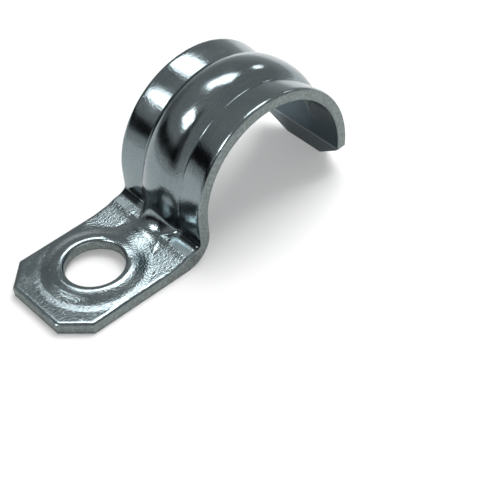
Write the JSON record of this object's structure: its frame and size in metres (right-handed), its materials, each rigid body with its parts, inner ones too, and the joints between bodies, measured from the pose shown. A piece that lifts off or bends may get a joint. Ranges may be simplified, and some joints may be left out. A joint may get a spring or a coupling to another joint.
{
  "type": "conduit strap",
  "caption": "Pressed steel conduit strap with a flat foot, a raised bolt boss and a ribbed arch that seats the conduit.",
  "frame": {"origin": "the middle of the conduit's seat, on the conduit's axis", "axes": "+X from the foot's end towards the toe, +Y across the strap along the conduit, +Z away from the wall"},
  "size_m": [0.0568, 0.019, 0.0232],
  "materials": {
    "zinc_plate": "bright zinc plating on steel"
  },
  "bodies": {
    "root": {"strap": "zinc_plate"}
  },
  "joints": []
}
